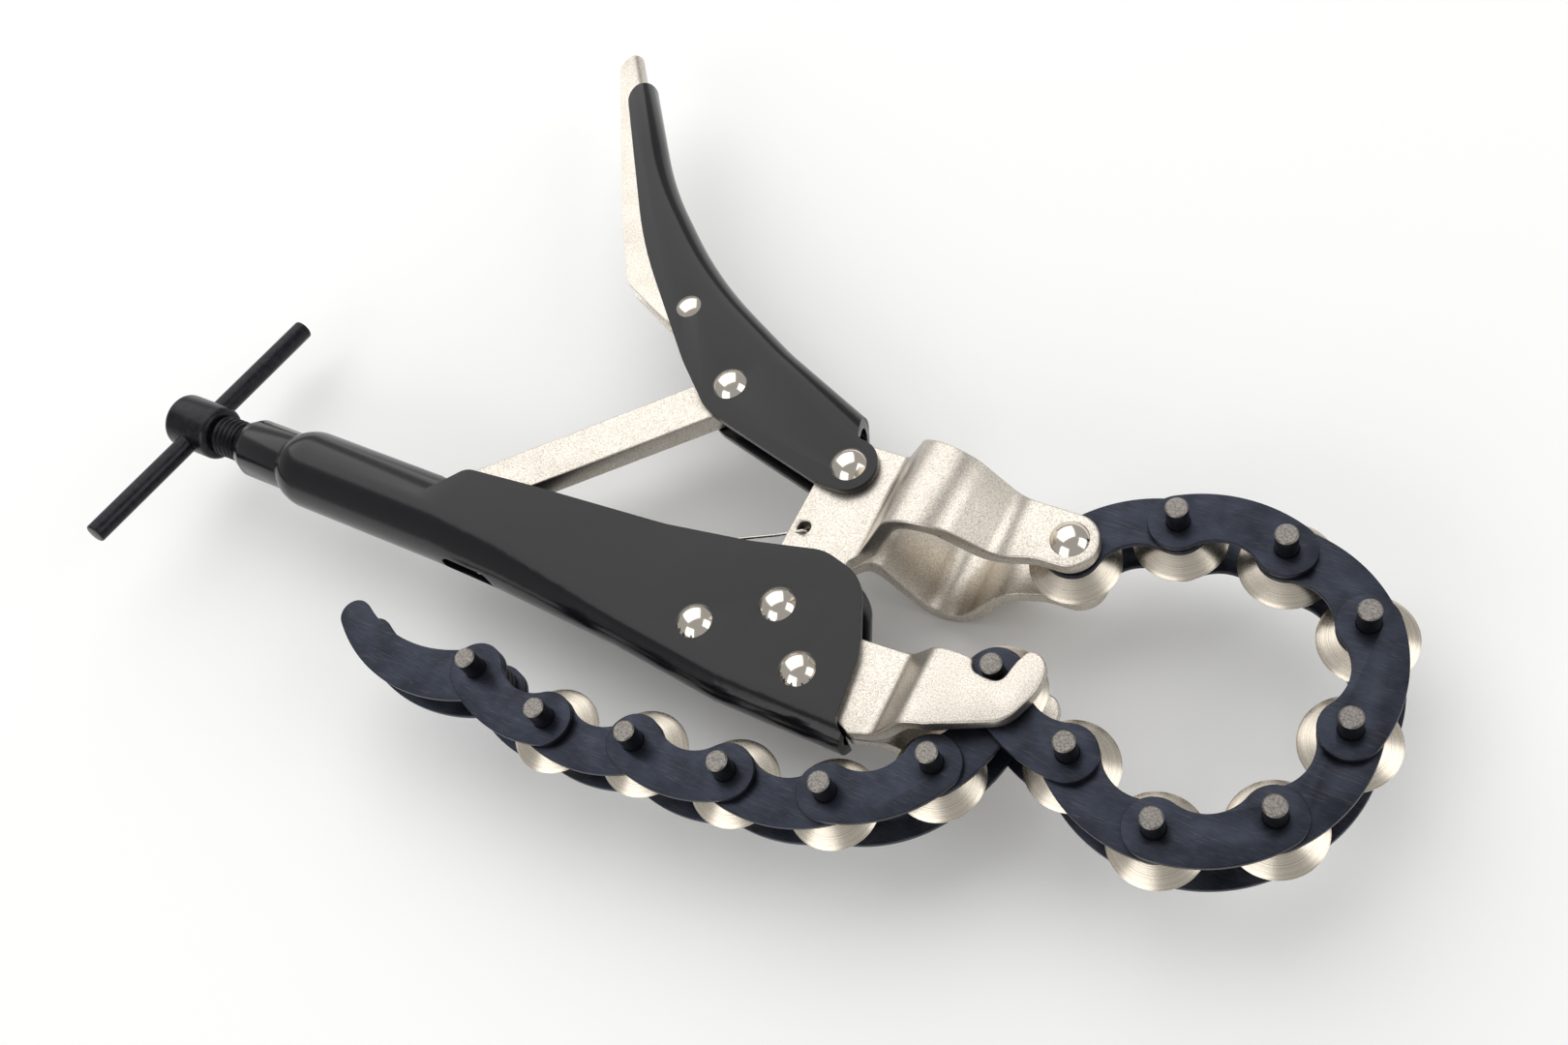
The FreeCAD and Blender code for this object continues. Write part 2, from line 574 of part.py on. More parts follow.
def make_bar():
    """Plain round cross bar through the screw's head, its ends lightly broken."""
    lean = math.radians(size("bar_turn"))
    body = new_body("t_bar")
    body.Placement = FreeCAD.Placement(
        OFFSET + V(size("bar_x"), AXIS_Y, 0),
        FreeCAD.Rotation(V(1, 0, 0), V(0, -math.cos(lean), math.sin(lean))))
    rad, half = size("bar_rad"), size("bar_long") / 2
    sketch = add_sketch(body)
    outline(sketch, [(-half, 0), (-half, rad - 0.5), (0.5 - half, rad), (half - 0.5, rad),
                     (half, rad - 0.5), (half, 0)])
    revolve(body, sketch)
    return body


def make_spring():
    """Return spring: a coil between its hook in the jaw and its hook in the handle's window."""
    hook = V(size("spring_hole_x"), size("spring_hole_y"), 0)
    foot = V(size("window_x") + 1.0, AXIS_Y - size("tube_rad") + WALL + 0.6, 0)
    along = foot - hook
    reach = along.Length
    angle = math.degrees(math.atan2(along.y, along.x))
    lead, rad, wire = 27.0, size("coil_rad"), size("wire_rad")
    body = new_body("jaw_spring", place(hook.x, hook.y, 0, angle))
    tube = add_sketch(body)
    outline(tube, [(lead, rad - 2 * wire), (lead, rad), (lead + size("coil_long"), rad),
                   (lead + size("coil_long"), rad - 2 * wire)])
    revolve(body, tube)
    for start, stop in ((size("spring_hole_rad") + 2.7, lead + 1.0), (lead + size("coil_long") - 1.0, reach)):
        lead_wire = add_sketch(body)
        outline(lead_wire, [(start, 0), (start, wire), (stop, wire), (stop, 0)])
        revolve(body, lead_wire)
    for spot in (lead + 1.0 - wire, lead + size("coil_long") - 1.0 + wire):
        cap = add_sketch(body)
        outline(cap, [(spot - wire, 0), (spot - wire, rad - wire), (spot + wire, rad - wire),
                      (spot + wire, 0)])
        revolve(body, cap)
    return body


# ---------------------------------------------------------------- chain

def plate_outline(sketch, far, far_rad, out, deep):
    """Crescent drawn with four arcs: two lobes, the outer crest and the inner hollow."""
    near_rad = size("lobe_rad")

    def circle_through(height, inside):
        # circle with centre (cx, cy) through (far/2, height), touching both lobes
        cx = far / 2
        cy = height - 40.0 if inside else height - 14.0
        for _ in range(60):
            def errors(cx, cy):
                radius = math.hypot(far / 2 - cx, height - cy)
                if inside:
                    return (radius - near_rad - math.hypot(cx, cy),
                            radius - far_rad - math.hypot(far - cx, cy))
                return (math.hypot(cx, cy) - radius - near_rad,
                        math.hypot(far - cx, cy) - radius - far_rad)
            e0, e1 = errors(cx, cy)
            step = 1e-5
            a0, a1 = errors(cx + step, cy)
            b0, b1 = errors(cx, cy + step)
            j00, j10, j01, j11 = (a0 - e0) / step, (a1 - e1) / step, (b0 - e0) / step, (b1 - e1) / step
            det = j00 * j11 - j01 * j10
            dx, dy = (e0 * j11 - e1 * j01) / det, (e1 * j00 - e0 * j10) / det
            scale = min(1.0, 10.0 / max(abs(dx), abs(dy), 1e-9))
            cx, cy = cx - dx * scale, cy - dy * scale
        return V(cx, cy, 0), math.hypot(far / 2 - cx, height - cy)

    near, end = V(0, 0, 0), V(far, 0, 0)
    crest, crest_rad = circle_through(out, True)
    hollow, hollow_rad = circle_through(deep, False)

    def toward(a, b, length):
        d = b - a
        d.normalize()
        return a + d * length

    top_near, top_far = toward(crest, near, crest_rad), toward(crest, end, crest_rad)
    low_near, low_far = toward(near, hollow, near_rad), toward(end, hollow, far_rad)
    edges = [Part.Arc(top_near, V(far / 2, out, 0), top_far),
             Part.Arc(top_far, end + V(far_rad, 0, 0), low_far),
             Part.Arc(low_far, V(far / 2, deep, 0), low_near),
             Part.Arc(low_near, V(-near_rad, 0, 0), top_near)]
    join_ends(sketch, edges)


def make_plates(name, link, face, far_hole):
    """The two like plates of a link, one at each side of the wheels."""
    tail = link == 14
    start = PINS[link]
    body = new_body(name, place(start.x, start.y, 0, HEADING[link]))
    sketch = add_sketch(body)
    if tail:
        plate_outline(sketch, size("tail_long"), size("tail_tip_rad"), size("tail_out"),
                      size("tail_in"))
    else:
        plate_outline(sketch, PITCH, size("lobe_rad"), size("crest_out"), -size("crest_in"))
    pad(body, sketch, "2 * (%s)" % face)
    middle = add_sketch(body)
    outline(middle, [(-50, -50), (90, -50), (90, 50), (-50, 50)])
    pocket(body, middle, "2 * (%s - Sizes.plate_thick)" % face)
    holes = add_sketch(body)
    hole = "Sizes.pin_rad" if face == OUTER else "Sizes.pin_rad + Sizes.pin_fit"
    circle(holes, 0.0, 0.0, hole)
    if far_hole:
        circle(holes, "Sizes.chain_pitch", 0.0, hole)
    pocket(body, holes)
    return body


OUTER = "Sizes.outer_face"
INNER = "Sizes.outer_face - Sizes.plate_thick - Sizes.washer_thick - Sizes.fit_gap"


def make_pins(name, link):
    """The two plain pins of an outer link."""
    body = new_body(name, place(PINS[link].x, PINS[link].y, 0, HEADING[link]))
    sketch = add_sketch(body)
    circle(sketch, 0.0, 0.0, "Sizes.pin_rad")
    circle(sketch, "Sizes.chain_pitch", 0.0, "Sizes.pin_rad")
    chamfer(body, pad(body, sketch, "2 * Sizes.pin_half"), 0.35)
    return body


def make_washers(name, link):
    """Black washers on an outer link's pins: under its plates and beside the wheels."""
    body = new_body(name, place(PINS[link].x, PINS[link].y, 0, HEADING[link]))
    step = size("washer_thick")
    top = size("outer_face") - size("plate_thick")
    inner_low = top - step - size("fit_gap") - size("plate_thick")
    wheel = size("wheel_half") + size("fit_gap")
    bands = [(top - step, top), (wheel, inner_low - size("fit_gap"))]
    for low, high in bands:
        for side in (1, -1):
            sketch = add_sketch(body, height=side * (low + high) / 2)
            for x in (0.0, "Sizes.chain_pitch"):
                circle(sketch, x, 0.0, "Sizes.washer_rad")
                circle(sketch, x, 0.0, "Sizes.pin_rad")
            pad(body, sketch, "%.4f mm" % (high - low))
    if link == 13:
        # the last pin carries a stack of washers where the others carry a wheel
        count = 6
        each = 2 * wheel / count
        for i in range(count):
            sketch = add_sketch(body, height=-wheel + each * (i + 0.5))
            circle(sketch, "Sizes.chain_pitch", 0.0, "Sizes.washer_rad + %.2f" % (0.25 * (i % 2)))
            circle(sketch, "Sizes.chain_pitch", 0.0, "Sizes.pin_rad")
            pad(body, sketch, "%.4f mm" % each)
    return body


def make_wheel(name, pin):
    """Double-cone cutter wheel with a thin rim and a short hub."""
    body = new_body(name, place(PINS[pin].x, PINS[pin].y, 0))
    sketch = add_sketch(body, "XZ_Plane")
    bore, hub = size("pin_rad") + size("pin_fit"), size("hub_rad")
    rim, half, thin = size("wheel_rad"), size("wheel_half"), size("rim_half")
    outline(sketch, [(bore, -half), (hub, -half), (hub + 0.4, -half + 0.5), (rim - 0.2, -thin), (rim, -0.1),
                     (rim, 0.1), (rim - 0.2, thin), (hub + 0.4, half - 0.5), (hub, half), (bore, half)])
    revolve(body, sketch, "V_Axis")
    return body


def make_anchor_washers():
    """Washers on the anchor rivet: two under each ear and one beside each face of the wheel."""
    body = new_body("anchor_washers", place(ANCHOR.x, ANCHOR.y, 0))
    top = size("ear_half") - PLATE
    under = size("outer_face") - size("plate_thick") - size("washer_thick")
    wheel = size("wheel_half") + size("fit_gap")
    low_top = under - size("fit_gap") - size("plate_thick") - size("fit_gap")
    for low, high in ((under, top), (wheel, low_top)):
        for side in (1, -1):
            sketch = add_sketch(body, height=side * (low + high) / 2)
            circle(sketch, 0.0, 0.0, "Sizes.washer_rad + 0.4")
            circle(sketch, 0.0, 0.0, "Sizes.pin_rad")
            pad(body, sketch, "%.4f mm" % (high - low))
    return body


# ---------------------------------------------------------------- the assembly

make_fixed_handle()
for side, tag in ((1, "upper"), (-1, "lower")):
    make_fixed_jaw("fixed_jaw_" + tag, side)
    make_moving_jaw("moving_jaw_" + tag, side)
rivet("handle_rivets", [V(0, 0, 0), REAR_RIVET, FRONT_RIVET])
make_screw()
make_bar()
make_lever()
rivet("lever_rivets", [LEVER_PIVOT, LINK_PIVOT])
rivet("release_rivet", [RELEASE_PIVOT], "small")
make_toggle_link()
make_release_lever()
rivet("chain_anchor_rivet", [ANCHOR], "pin", size("ear_half"))
make_anchor_washers()
make_spring()
for link in range(15):
    if link % 2:
        make_plates("outer_plates_%02d" % link, link, OUTER, True)
        make_pins("pins_%02d" % link, link)
        make_washers("washers_%02d" % link, link)
    else:
        make_plates("inner_plates_%02d" % link, link, INNER, link != 14)
for pin in range(14):
    make_wheel("wheel_%02d" % pin, pin)

doc.recompute()
problems = [o.Label for o in doc.Objects if "Invalid" in o.State or "Error" in o.State]
problems += [o.Label + " has no valid shape" for o in NODES if o.Shape.isNull() or not o.Shape.isValid()
             or o.Shape.Volume < 1.0]
if problems:
    raise RuntimeError("failed: " + ", ".join(problems))
os.makedirs("parts", exist_ok=True)
for node in NODES:
    node.Shape.exportStep("parts/%s.step" % node.Label)
    print("%-22s %d solids %10.1f mm3" % (node.Label, len(node.Shape.Solids), node.Shape.Volume))
box = FreeCAD.BoundBox()
for node in NODES:
    box.add(node.Shape.BoundBox)
print("box", box, "pins", [(round(p.x, 2), round(p.y, 2)) for p in PINS])
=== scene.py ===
import bmesh
import bpy
import json
import math
from mathutils import Matrix, Vector

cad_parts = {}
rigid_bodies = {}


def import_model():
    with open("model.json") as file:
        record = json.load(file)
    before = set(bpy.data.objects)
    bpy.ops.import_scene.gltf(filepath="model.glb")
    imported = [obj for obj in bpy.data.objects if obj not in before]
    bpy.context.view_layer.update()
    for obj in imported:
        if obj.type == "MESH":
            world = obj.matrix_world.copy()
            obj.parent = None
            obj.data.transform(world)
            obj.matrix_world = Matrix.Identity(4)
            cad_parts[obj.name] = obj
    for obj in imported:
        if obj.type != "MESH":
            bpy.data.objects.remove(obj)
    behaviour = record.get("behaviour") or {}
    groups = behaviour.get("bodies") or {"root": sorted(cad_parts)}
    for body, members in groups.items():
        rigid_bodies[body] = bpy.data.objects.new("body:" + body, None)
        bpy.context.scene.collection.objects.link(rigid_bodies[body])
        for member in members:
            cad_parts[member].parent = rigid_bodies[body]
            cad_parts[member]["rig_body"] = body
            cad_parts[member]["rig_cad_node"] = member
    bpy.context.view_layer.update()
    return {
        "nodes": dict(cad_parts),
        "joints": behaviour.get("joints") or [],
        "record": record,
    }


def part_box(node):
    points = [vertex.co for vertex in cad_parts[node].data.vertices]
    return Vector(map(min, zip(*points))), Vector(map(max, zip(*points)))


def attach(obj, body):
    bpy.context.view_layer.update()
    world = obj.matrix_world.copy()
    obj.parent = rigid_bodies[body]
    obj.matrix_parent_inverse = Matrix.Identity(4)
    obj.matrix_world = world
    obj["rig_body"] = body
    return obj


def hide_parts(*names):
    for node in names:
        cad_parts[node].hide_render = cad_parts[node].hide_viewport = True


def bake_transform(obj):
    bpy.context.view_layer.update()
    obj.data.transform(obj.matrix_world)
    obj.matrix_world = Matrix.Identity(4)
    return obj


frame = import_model()

bl_info = {
    "name": "Chain Pipe Cutter",
    "version": (1, 0, 0),
    "blender": (4, 5, 0),
    "location": "3D View > Sidebar > Cutter",
    "description": "Models and finishes a locking-plier chain cutter for exhaust pipe",
    "category": "Object",
}

MM = 0.001
BODY_OF = {node: body for body, nodes in frame["record"]["behaviour"]["bodies"].items()
           for node in nodes}
JOINT = {joint["name"]: Vector(joint["pos_m"]) for joint in frame["joints"]}
MID_Z = JOINT["jaw_pivot"].z


def srgb(code):
    """Linear colour from an sRGB hex code."""
    levels = [int(code[i:i + 2], 16) / 255 for i in (0, 2, 4)]
    return tuple(v / 12.92 if v <= 0.04045 else ((v + 0.055) / 1.055) ** 2.4 for v in levels)


# ------------------------------------------------------------------ settings

def length(name, text, millimetres):
    """A length property whose default is given in millimetres."""
    return bpy.props.FloatProperty(name=name, description=text, default=millimetres * MM,
                                   min=0.0, unit="LENGTH", precision=5)


def colour(name, text, code):
    """A colour property whose default is an sRGB hex code."""
    return bpy.props.FloatVectorProperty(name=name, description=text, default=srgb(code),
                                         min=0.0, max=1.0, size=3, subtype="COLOR")


class CutterSizes(bpy.types.PropertyGroup):
    """Sizes of the worked edges and of the small turned and wound pieces."""
    fold_edge: length("Painted edge", "Rounding of the painted sheet's cut edges", 0.55)
    jaw_edge: length("Jaw edge", "Rounding of the jaws' and link's edges", 0.5)
    plate_edge: length("Chain plate edge", "Rounding of the chain plates' edges", 0.22)
    thread_pitch: length("Thread pitch", "Distance between the screw's turns", 1.75)
    thread_depth: length("Thread depth", "Height of the screw's thread", 0.95)
    head_length: length("Head length", "Length of the screw's head", 17.0)
    head_edge: length("Head edge", "Rounding of the screw's head", 1.9)
    shank: length("Screw radius", "Radius over the screw's thread", 6.0)
    bar_radius: length("Bar radius", "Radius of the cross bar", 3.0)
    bar_length: length("Bar length", "Length of the cross bar", 91.0)
    wheel_bore: length("Wheel bore", "Radius of the cutter wheel's bore", 2.72)
    wheel_hub: length("Wheel hub", "Radius of the cutter wheel's hub", 5.2)
    wheel_rim: length("Wheel rim", "Half width just inside the cutting edge", 0.32)
    bar_lean: bpy.props.FloatProperty(name="Bar lean", default=math.radians(13.0),
                                      description="How far the cross bar is turned from level",
                                      unit="ROTATION")
    spring_wire: length("Spring wire", "Radius of the return spring's wire", 0.42)
    spring_pitch: length("Spring pitch", "Distance between the spring's coils", 1.12)
    spring_coil: length("Spring coil", "Radius of the coil to the wire's middle", 2.1)


class CutterColours(bpy.types.PropertyGroup):
    """Colours of the finishes."""
    enamel: colour("Black enamel", "Handle and lever", "0E0E12")
    oxide: colour("Black oxide", "Screw and cross bar", "242428")
    nickel: colour("Satin nickel", "Jaws, toggle link and release lever", "E6DED2")
    rivet: colour("Bright nickel", "Rivet heads", "DED6CA")
    blued: colour("Blued steel", "Chain plates", "30343F")
    wheel: colour("Wheel nickel", "Cutter wheels", "E2D8C8")
    pin: colour("Ground steel", "Chain pins' ends", "918C86")
    floor: colour("Floor", "Studio floor", "FAFAF9")


# ------------------------------------------------------------------ modelling helpers

def choose(*pieces):
    """Selects only these objects and makes the last one active."""
    if bpy.context.object and bpy.context.object.mode != "OBJECT":
        bpy.ops.object.mode_set(mode="OBJECT")
    bpy.ops.object.select_all(action="DESELECT")
    for piece in pieces:
        piece.select_set(True)
        bpy.context.view_layer.objects.active = piece


def settle(piece, name, body, material):
    """Names a finished piece, puts its place in its mesh and hangs it on its body."""
    choose(piece)
    bpy.ops.object.transform_apply(location=True, rotation=True, scale=True)
    piece.name = name
    piece.data.name = name
    piece.data.materials.clear()
    for each in material if isinstance(material, (list, tuple)) else [material]:
        piece.data.materials.append(each)
    if body:
        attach(piece, body)
    return piece


def apply_modifier(piece, kind, **settings):
    """Adds one modifier with its settings and applies it."""
    choose(piece)
    modifier = piece.modifiers.new(kind.title(), kind)
    for key, value in settings.items():
        setattr(modifier, key, value)
    bpy.ops.object.modifier_apply(modifier=modifier.name)


def worked_copy(node, width, material, corner=32.0, smooth=38.0, clamp=False):
    """A copy of a node with its points merged and its sharp edges worked round."""
    source = frame["nodes"][node]
    choose(source)
    bpy.ops.object.duplicate()
    piece = bpy.context.object
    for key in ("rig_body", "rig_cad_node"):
        if key in piece:
            del piece[key]
    piece.parent = None
    piece.matrix_world = Matrix.Identity(4)
    bpy.ops.object.mode_set(mode="EDIT")
    bpy.ops.mesh.select_mode(type="VERT")
    bpy.ops.mesh.select_all(action="SELECT")
    bpy.ops.mesh.remove_doubles(threshold=0.004 * MM)
    bpy.ops.mesh.customdata_custom_splitnormals_clear()
    bpy.ops.mesh.dissolve_limited(angle_limit=math.radians(0.1))
    bpy.ops.object.mode_set(mode="OBJECT")
    if width:
        apply_modifier(piece, "BEVEL", width=width, segments=3, limit_method="ANGLE",
                       angle_limit=math.radians(corner), use_clamp_overlap=clamp,
                       miter_outer="MITER_ARC")
    choose(piece)
    bpy.ops.object.shade_smooth_by_angle(angle=math.radians(smooth))
    settle(piece, node + "_worked", BODY_OF[node], material)
    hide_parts(node)
    return piece


def turned(profile, axis, centre, steps=72):
    """A closed shape turned from a profile of (along, radius) about the x or z axis."""
    choose()
    bpy.ops.mesh.primitive_circle_add(vertices=len(profile), radius=1.0, fill_type="NOTHING",
                                      location=(0, 0, 0))
    piece = bpy.context.object
    for vertex, (along, radius) in zip(piece.data.vertices, profile):
        vertex.co = (along, radius, 0) if axis == "X" else (radius, 0, along)
    bpy.ops.object.mode_set(mode="EDIT")
    bpy.ops.mesh.select_mode(type="EDGE")
    bpy.ops.mesh.select_all(action="DESELECT")
    mesh = bmesh.from_edit_mesh(piece.data)
    on_axis = [e for e in mesh.edges
               if all((v.co.yz if axis == "X" else v.co.xy).length < 1e-9 for v in e.verts)]
    for edge in on_axis:
        edge.select = True
    bmesh.update_edit_mesh(piece.data)
    if on_axis:
        bpy.ops.mesh.delete(type="EDGE")
    bpy.ops.mesh.select_all(action="SELECT")
    bpy.ops.mesh.spin(steps=steps, angle=math.tau, center=(0, 0, 0),
                      axis=(1, 0, 0) if axis == "X" else (0, 0, 1))
    bpy.ops.mesh.select_all(action="SELECT")
    bpy.ops.mesh.remove_doubles(threshold=1e-7)
    bpy.ops.mesh.normals_make_consistent(inside=False)
    bpy.ops.object.mode_set(mode="OBJECT")
    bpy.ops.object.shade_smooth_by_angle(angle=math.radians(35))
    piece.location = centre
    return piece


def bend(centre_along, centre_radius, radius, first, last, steps=6):
    """Profile points round a corner, angles in degrees from the along direction."""
    return [(centre_along + radius * math.cos(math.radians(first + (last - first) * i / steps)),
             centre_radius + radius * math.sin(math.radians(first + (last - first) * i / steps)))
            for i in range(steps + 1)]


# ------------------------------------------------------------------ finishes

def add(tree, kind, inputs=None, stops=None, **settings):
    """Adds a shader node with its settings; an input is a value or another node's output."""
    node = tree.nodes.new("ShaderNode" + kind)
    for name, value in settings.items():
        setattr(node, name, value)
    for name, value in (inputs or {}).items():
        if isinstance(value, bpy.types.NodeSocket):
            tree.links.new(value, node.inputs[name])
        else:
            node.inputs[name].default_value = value
    for i, (place, level) in enumerate(stops or []):
        points = node.color_ramp.elements
        point = points[i] if i < 2 else points.new(place)
        point.position = place
        point.color = (level, level, level, 1) if isinstance(level, float) else (*level, 1)
    return node


def finish(name):
    """A new material, its tree and its surface shader."""
    material = bpy.data.materials.new(name)
    material.use_nodes = True
    tree = material.node_tree
    return material, tree, tree.nodes["Principled BSDF"]


def per_mm(size):
    """Noise scale that gives grains of this many millimetres on Object coordinates."""
    return 1.0 / (size * MM)


def shade_of(base, factor):
    """The colour made lighter or darker by a factor."""
    return tuple(min(1.0, c * factor) for c in base)


def black_enamel(base):
    """Stoved black enamel on pressed steel: deep black with a soft, slightly wavy gloss."""
    material, tree, surface = finish("black_enamel_on_pressed_steel")
    where = add(tree, "TexCoord").outputs["Object"]
    # flow-out waves about 2.5 mm across and fine dust specks of 0.3 mm
    waves = add(tree, "TexNoise", {"Vector": where, "Scale": per_mm(2.5), "Detail": 2.0})
    specks = add(tree, "TexNoise", {"Vector": where, "Scale": per_mm(0.35), "Detail": 1.0})
    mottled = add(tree, "MapRange", {"Value": waves.outputs["Fac"], "To Min": 0.15, "To Max": 0.24})
    tree.links.new(mottled.outputs["Result"], surface.inputs["Roughness"])
    low = add(tree, "Bump", {"Height": waves.outputs["Fac"], "Strength": 0.06,
                             "Distance": 0.1 * MM})
    fine = add(tree, "Bump", {"Height": specks.outputs["Fac"], "Strength": 0.10,
                              "Distance": 0.03 * MM, "Normal": low.outputs["Normal"]})
    tree.links.new(fine.outputs["Normal"], surface.inputs["Normal"])
    surface.inputs["Base Color"].default_value = (*base, 1)
    surface.inputs["IOR"].default_value = 1.40
    surface.inputs["Coat Weight"].default_value = 0.08
    surface.inputs["Coat Roughness"].default_value = 0.18
    return material


def black_oxide(base):
    """Black oxide on turned steel, lightly oiled: dark grey metal with a soft sheen."""
    material, tree, surface = finish("black_oxide_on_turned_steel")
    where = add(tree, "TexCoord").outputs["Object"]
    patches = add(tree, "TexNoise", {"Vector": where, "Scale": per_mm(1.6), "Detail": 4.0})
    rough = add(tree, "MapRange", {"Value": patches.outputs["Fac"], "To Min": 0.22, "To Max": 0.42})
    tree.links.new(rough.outputs["Result"], surface.inputs["Roughness"])
    tint = add(tree, "ValToRGB", {"Fac": patches.outputs["Fac"]},
               stops=[(0.35, shade_of(base, 0.7)), (0.7, shade_of(base, 1.35))])
    tree.links.new(tint.outputs["Color"], surface.inputs["Base Color"])
    surface.inputs["Metallic"].default_value = 0.75
    return material


def satin_nickel(base):
    """Dull nickel plate on blasted steel: warm grey with a fine sparkling grain."""
    material, tree, surface = finish("satin_nickel_on_blasted_steel")
    where = add(tree, "TexCoord").outputs["Object"]
    # blasting grain, drawn 0.35 mm across so that it shows
    grain = add(tree, "TexNoise", {"Vector": where, "Scale": per_mm(0.35), "Detail": 3.0,
                                   "Roughness": 0.7})
    cloud = add(tree, "TexNoise", {"Vector": where, "Scale": per_mm(9.0), "Detail": 3.0})
    tint = add(tree, "ValToRGB", {"Fac": grain.outputs["Fac"]},
               stops=[(0.36, shade_of(base, 0.56)), (0.57, base)])
    cast = add(tree, "MapRange", {"Value": cloud.outputs["Fac"], "From Min": 0.3, "From Max": 0.7,
                                  "To Min": 0.88, "To Max": 1.0})
    colour_mix = add(tree, "Mix", {0: 1.0, 6: tint.outputs["Color"], 7: cast.outputs["Result"]},
                     data_type="RGBA", blend_type="MULTIPLY")
    tree.links.new(colour_mix.outputs[2], surface.inputs["Base Color"])
    rough = add(tree, "MapRange", {"Value": grain.outputs["Fac"], "From Min": 0.3, "From Max": 0.7,
                                   "To Min": 0.42, "To Max": 0.30})
    tree.links.new(rough.outputs["Result"], surface.inputs["Roughness"])
    pits = add(tree, "Bump", {"Height": grain.outputs["Fac"], "Strength": 0.40,
                              "Distance": 0.06 * MM})
    tree.links.new(pits.outputs["Normal"], surface.inputs["Normal"])
    surface.inputs["Metallic"].default_value = 1.0
    return material


def bright_nickel(base):
    """Bright nickel plate on headed steel: a warm mirror with faint hammer softness."""
    material, tree, surface = finish("bright_nickel_on_headed_rivets")
    where = add(tree, "TexCoord").outputs["Object"]
    soft = add(tree, "TexNoise", {"Vector": where, "Scale": per_mm(1.3), "Detail": 3.0})
    rough = add(tree, "MapRange", {"Value": soft.outputs["Fac"], "To Min": 0.09, "To Max": 0.17})
    tree.links.new(rough.outputs["Result"], surface.inputs["Roughness"])
    dents = add(tree, "Bump", {"Height": soft.outputs["Fac"], "Strength": 0.05,
                               "Distance": 0.10 * MM})
    tree.links.new(dents.outputs["Normal"], surface.inputs["Normal"])
    surface.inputs["Base Color"].default_value = (*base, 1)
    surface.inputs["Metallic"].default_value = 1.0
    return material


def blued_plate(base):
    """Blued spring-steel plate: dark blue-grey with fine handling scratches and pits."""
    material, tree, surface = finish("blued_spring_steel_plate")
    where = add(tree, "TexCoord").outputs["Object"]
    cloud = add(tree, "TexNoise", {"Vector": where, "Scale": per_mm(7.0), "Detail": 4.0})
    tint = add(tree, "ValToRGB", {"Fac": cloud.outputs["Fac"]},
               stops=[(0.32, shade_of(base, 0.60)), (0.68, shade_of(base, 1.25))])
    # scratches about 0.15 mm wide and 6 mm long, lying two ways
    marks = []
    for turn, scale in ((0.5, (1.0, 26.0, 1.0)), (2.1, (1.0, 22.0, 1.0))):
        laid = add(tree, "Mapping", {"Vector": where, "Rotation": (0, 0, turn), "Scale": scale})
        lines = add(tree, "TexNoise", {"Vector": laid.outputs["Vector"], "Scale": per_mm(5.0),
                                       "Detail": 1.0})
        marks.append(add(tree, "ValToRGB", {"Fac": lines.outputs["Fac"]},
                         stops=[(0.62, 0.0), (0.70, 1.0)]))
    both = add(tree, "Math", {0: marks[0].outputs["Color"], 1: marks[1].outputs["Color"]},
               operation="MAXIMUM")
    # pits of about 0.4 mm
    pits = add(tree, "TexVoronoi", {"Vector": where, "Scale": per_mm(1.7)})
    pitted = add(tree, "ValToRGB", {"Fac": pits.outputs["Distance"]},
                 stops=[(0.05, 0.0), (0.16, 1.0)])
    worn = add(tree, "Math", {0: both.outputs["Value"], 1: 0.06}, operation="MULTIPLY")
    mixed = add(tree, "Mix", {0: worn.outputs["Value"], 6: tint.outputs["Color"],
                              7: (0.42, 0.37, 0.32, 1)}, data_type="RGBA")
    tree.links.new(mixed.outputs[2], surface.inputs["Base Color"])
    rough = add(tree, "MapRange", {"Value": cloud.outputs["Fac"], "To Min": 0.30, "To Max": 0.48})
    tree.links.new(rough.outputs["Result"], surface.inputs["Roughness"])
    sunk = add(tree, "Bump", {"Height": pitted.outputs["Color"], "Strength": 0.12,
                              "Distance": 0.04 * MM})
    tree.links.new(sunk.outputs["Normal"], surface.inputs["Normal"])
    surface.inputs["Metallic"].default_value = 0.8
    return material


def turned_nickel(base):
    """Nickel plate on turned wheels: champagne metal with fine rings from the lathe."""
    material, tree, surface = finish("nickel_on_turned_wheels")
    ring = add(tree, "Attribute", attribute_name="turning_mm").outputs["Fac"]
    # lathe rings, drawn about 0.25 mm apart so that they show
    grooves = add(tree, "TexNoise", {"W": ring, "Scale": 4.0, "Detail": 3.0},
                  noise_dimensions="1D")
    where = add(tree, "TexCoord").outputs["Object"]
    grain = add(tree, "TexNoise", {"Vector": where, "Scale": per_mm(0.5), "Detail": 2.0})
    tint = add(tree, "ValToRGB", {"Fac": grooves.outputs["Fac"]},
               stops=[(0.3, shade_of(base, 0.70)), (0.65, base)])
    tree.links.new(tint.outputs["Color"], surface.inputs["Base Color"])
    rough = add(tree, "MapRange", {"Value": grain.outputs["Fac"], "To Min": 0.22, "To Max": 0.36})
    tree.links.new(rough.outputs["Result"], surface.inputs["Roughness"])
    cut = add(tree, "Bump", {"Height": grooves.outputs["Fac"], "Strength": 0.22,
                             "Distance": 0.05 * MM})
    tree.links.new(cut.outputs["Normal"], surface.inputs["Normal"])
    surface.inputs["Metallic"].default_value = 1.0
    return material


